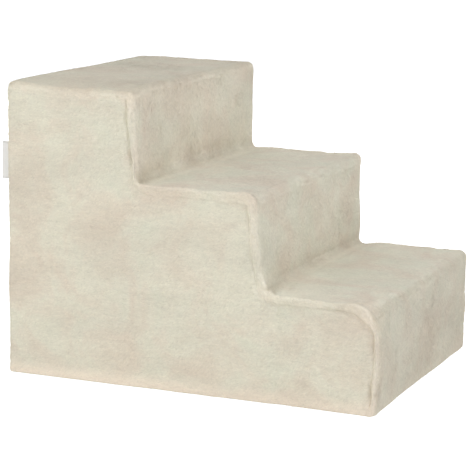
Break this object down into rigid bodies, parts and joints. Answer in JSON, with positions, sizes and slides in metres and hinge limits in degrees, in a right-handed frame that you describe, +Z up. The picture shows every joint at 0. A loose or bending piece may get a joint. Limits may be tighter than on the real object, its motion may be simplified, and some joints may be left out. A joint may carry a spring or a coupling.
{
  "type": "pet stairs",
  "caption": "Stepped foam stairs for a pet, in a removable short-pile plush cover with side seams, a zip along the low back edge and a blank side label.",
  "frame": {"origin": "middle of the flat underside, on the floor, half way across the width and the depth of the stairs", "axes": "+Z up, +Y towards the tall back end, -Y towards the lowest step, -X the side whose back seam holds the label"},
  "size_m": [0.35, 0.459, 0.34],
  "materials": {
    "plush": "cream short-pile plush",
    "base_cloth": "anti-slip base cloth with small grip dots",
    "foam": "open-cell polyurethane foam",
    "label_ribbon": "woven satin ribbon",
    "zip_tape": "woven polyester tape",
    "zip_teeth": "moulded acetal",
    "zip_metal": "cream enamel on zinc"
  },
  "bodies": {
    "stairs": {"step_panel": "plush", "left_side_panel": "plush", "right_side_panel": "plush", "back_panel": "plush", "base_panel": "base_cloth", "base_foam": "foam", "middle_foam": "foam", "top_foam": "foam", "woven_label": "label_ribbon", "upper_zip_tape": "zip_tape", "lower_zip_tape": "zip_tape", "upper_zip_teeth": "zip_teeth", "lower_zip_teeth": "zip_teeth", "zip_top_stops": "zip_teeth", "zip_bottom_stop": "zip_teeth"},
    "slider": {"zip_slider": "zip_metal"},
    "pull": {"zip_pull": "zip_metal"}
  },
  "joints": [
    {"name": "zip_slide", "type": "slide", "parent": "stairs", "child": "slider", "axis": [1, 0, 0], "range_m": [0, 0.29], "deforming": ["upper_zip_teeth", "lower_zip_teeth", "upper_zip_tape", "lower_zip_tape"]},
    {"name": "pull_swing", "type": "hinge", "parent": "slider", "child": "pull", "pos_m": [-0.1312, 0.22595, 0.02], "axis": [0, 0, 1], "range_deg": [0, 180]}
  ]
}
